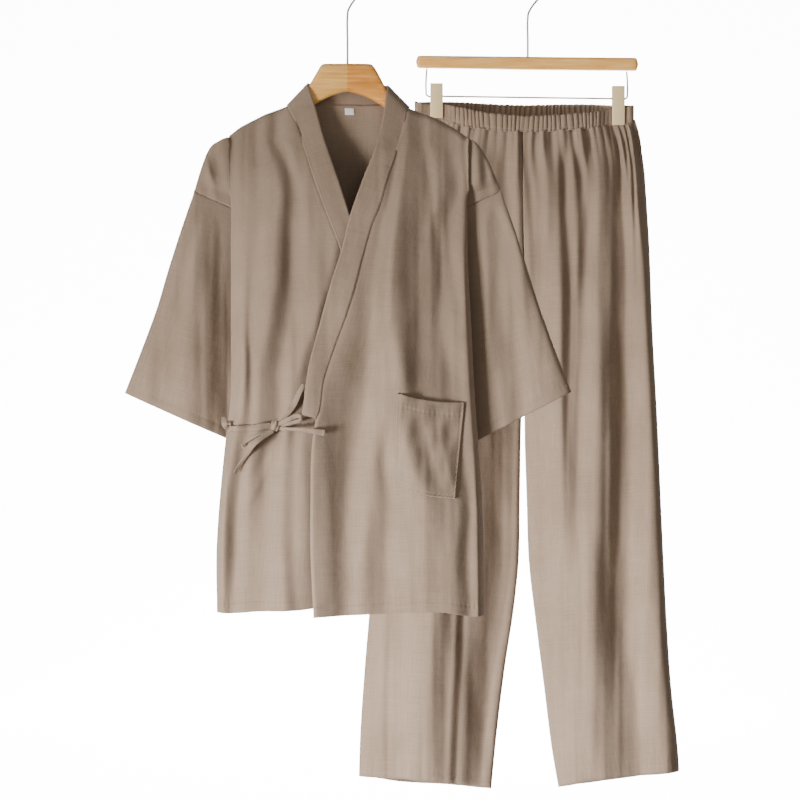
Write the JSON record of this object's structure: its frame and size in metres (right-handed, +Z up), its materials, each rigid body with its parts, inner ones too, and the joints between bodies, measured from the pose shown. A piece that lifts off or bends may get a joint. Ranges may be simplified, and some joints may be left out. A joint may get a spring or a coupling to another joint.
{
  "type": "kimono pyjama set on two hangers",
  "caption": "Wrap-front kimono pyjama jacket with side ties on a wooden hanger, and elastic-waist trousers on a clip hanger behind it.",
  "frame": {"origin": "the inside top of the jacket hanger's hook, where it rests on its rail", "axes": "+Z up, +X to the viewer's right as one faces the front of the jacket, +Y away from the viewer"},
  "size_m": [0.7881, 0.2461, 1.1652],
  "materials": {
    "cloth": "matt taupe cotton, soft and a little crumpled",
    "wood": "satin lacquered light wood",
    "steel": "satin, warm",
    "label": "woven white tape, blank"
  },
  "bodies": {
    "root": {"front_under": "cloth", "front_over": "cloth", "jacket_back": "cloth", "collar": "cloth", "pocket": "cloth", "shoulder_left": "cloth", "shoulder_right": "cloth", "sleeve_left": "cloth", "sleeve_right": "cloth", "tie_side": "cloth", "tie_front": "cloth", "bow_loop_right": "cloth", "bow_end_right": "cloth", "bow_loop_left": "cloth", "bow_end_down": "cloth", "bow_knot": "cloth", "waistband": "cloth", "leg_left": "cloth", "leg_right": "cloth", "neck_label": "label", "hanger_wood": "wood", "trouser_bar": "wood", "jacket_hook": "steel", "trouser_hook": "steel", "trouser_rod": "steel", "clip_left": "steel", "clip_right": "steel"}
  },
  "joints": []
}
